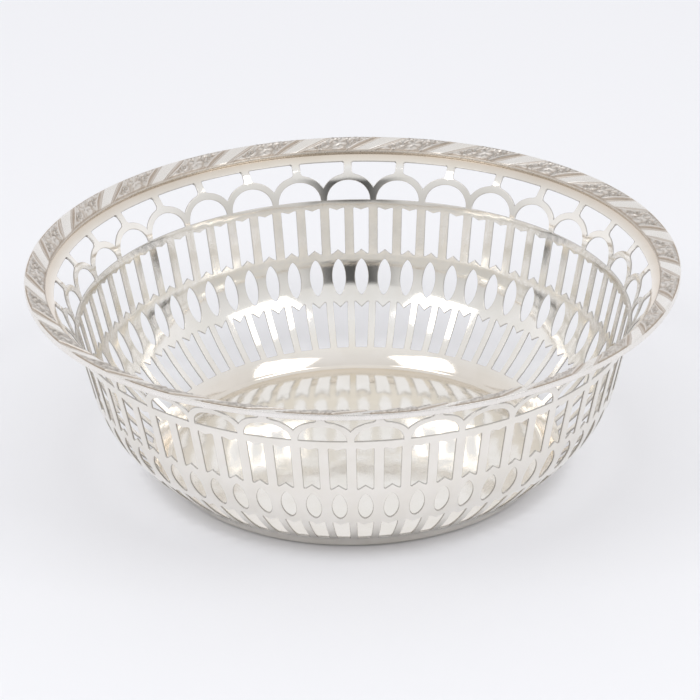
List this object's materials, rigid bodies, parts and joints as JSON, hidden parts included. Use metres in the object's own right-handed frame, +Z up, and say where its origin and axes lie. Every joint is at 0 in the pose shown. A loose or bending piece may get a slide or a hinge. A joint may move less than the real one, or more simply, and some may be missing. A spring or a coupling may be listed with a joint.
{
  "type": "bonbon basket",
  "caption": "Round pierced silver bonbon basket: a flat-based bowl with slots, leaves and an arcade cut through its wall, and a relief border on its brim.",
  "frame": {"origin": "middle of the flat underside of the base, on the surface that the basket stands on", "axes": "+Z up through the mouth of the bowl; -Y is the front, where a post of the arcade stands"},
  "size_m": [0.16, 0.16, 0.0527],
  "materials": {
    "polished_silver": "hand-polished silver sheet with fine swirl marks",
    "border_silver": "cast silver, bright on the relief and greyed in the hollows"
  },
  "bodies": {
    "root": {"pierced_bowl": "polished_silver", "rim_border": "border_silver"}
  },
  "joints": []
}
